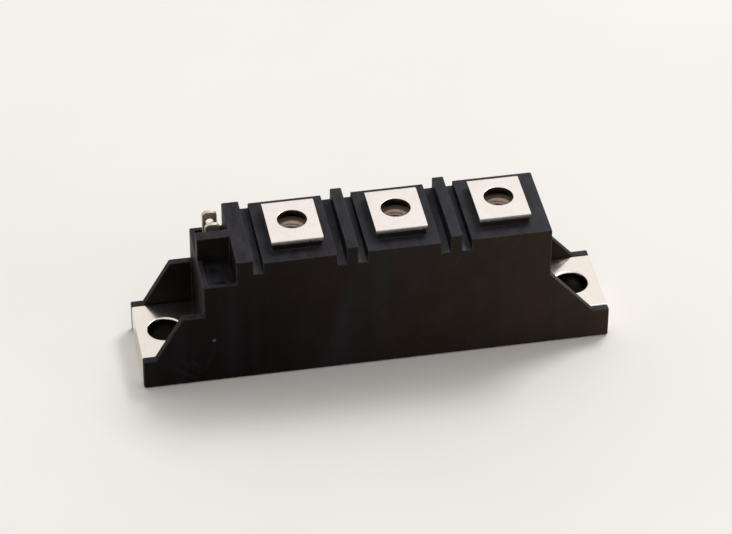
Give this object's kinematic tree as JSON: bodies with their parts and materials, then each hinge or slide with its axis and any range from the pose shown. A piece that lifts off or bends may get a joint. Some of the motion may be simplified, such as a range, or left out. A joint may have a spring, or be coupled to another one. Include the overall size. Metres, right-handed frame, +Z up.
{
  "type": "power transistor module",
  "caption": "Black moulded power module on a plated base bar with drilled ears, square screw-terminal plates along the top and push-on control tabs at one end.",
  "frame": {"origin": "middle of the base bar's underside, on the heat-sink plane", "axes": "+X along the length from the control tabs towards the plain end, +Y towards the side where the terminal strips bend down, +Z up from the heat sink"},
  "size_m": [0.091, 0.019, 0.0296],
  "materials": {
    "base_plating": "satin nickel plating on a copper bar",
    "housing_moulding": "black glass-filled moulding, fine satin texture",
    "terminal_plating": "bright nickel plating on copper strip",
    "nut_steel": "dull zinc-plated steel",
    "tab_plating": "tin plating, slightly dull",
    "copper": "bare copper",
    "board_ceramic": "white alumina ceramic",
    "chip_silicon": "polished silicon",
    "wire_aluminium": "drawn aluminium wire",
    "soft_gel": "soft translucent silicone",
    "hard_filling": "cast epoxy"
  },
  "bodies": {
    "root": {"base_plate": "base_plating", "housing": "housing_moulding", "collector_terminal": "terminal_plating", "midpoint_terminal": "terminal_plating", "anode_terminal": "terminal_plating", "terminal_nuts": "nut_steel", "base_tab": "tab_plating", "emitter_tab": "tab_plating", "lower_foil_left": "copper", "lower_foil_right": "copper", "ceramic_left": "board_ceramic", "ceramic_right": "board_ceramic", "collector_track": "copper", "base_track": "copper", "sense_track": "copper", "midpoint_track": "copper", "anode_track": "copper", "transistor_chip": "chip_silicon", "clamp_diode_chip": "chip_silicon", "freewheel_diode_chip": "chip_silicon", "emitter_clip": "copper", "anode_clip": "copper", "base_wire": "wire_aluminium", "sense_wire": "wire_aluminium", "silicone_gel": "soft_gel", "epoxy_fill": "hard_filling"}
  },
  "joints": []
}
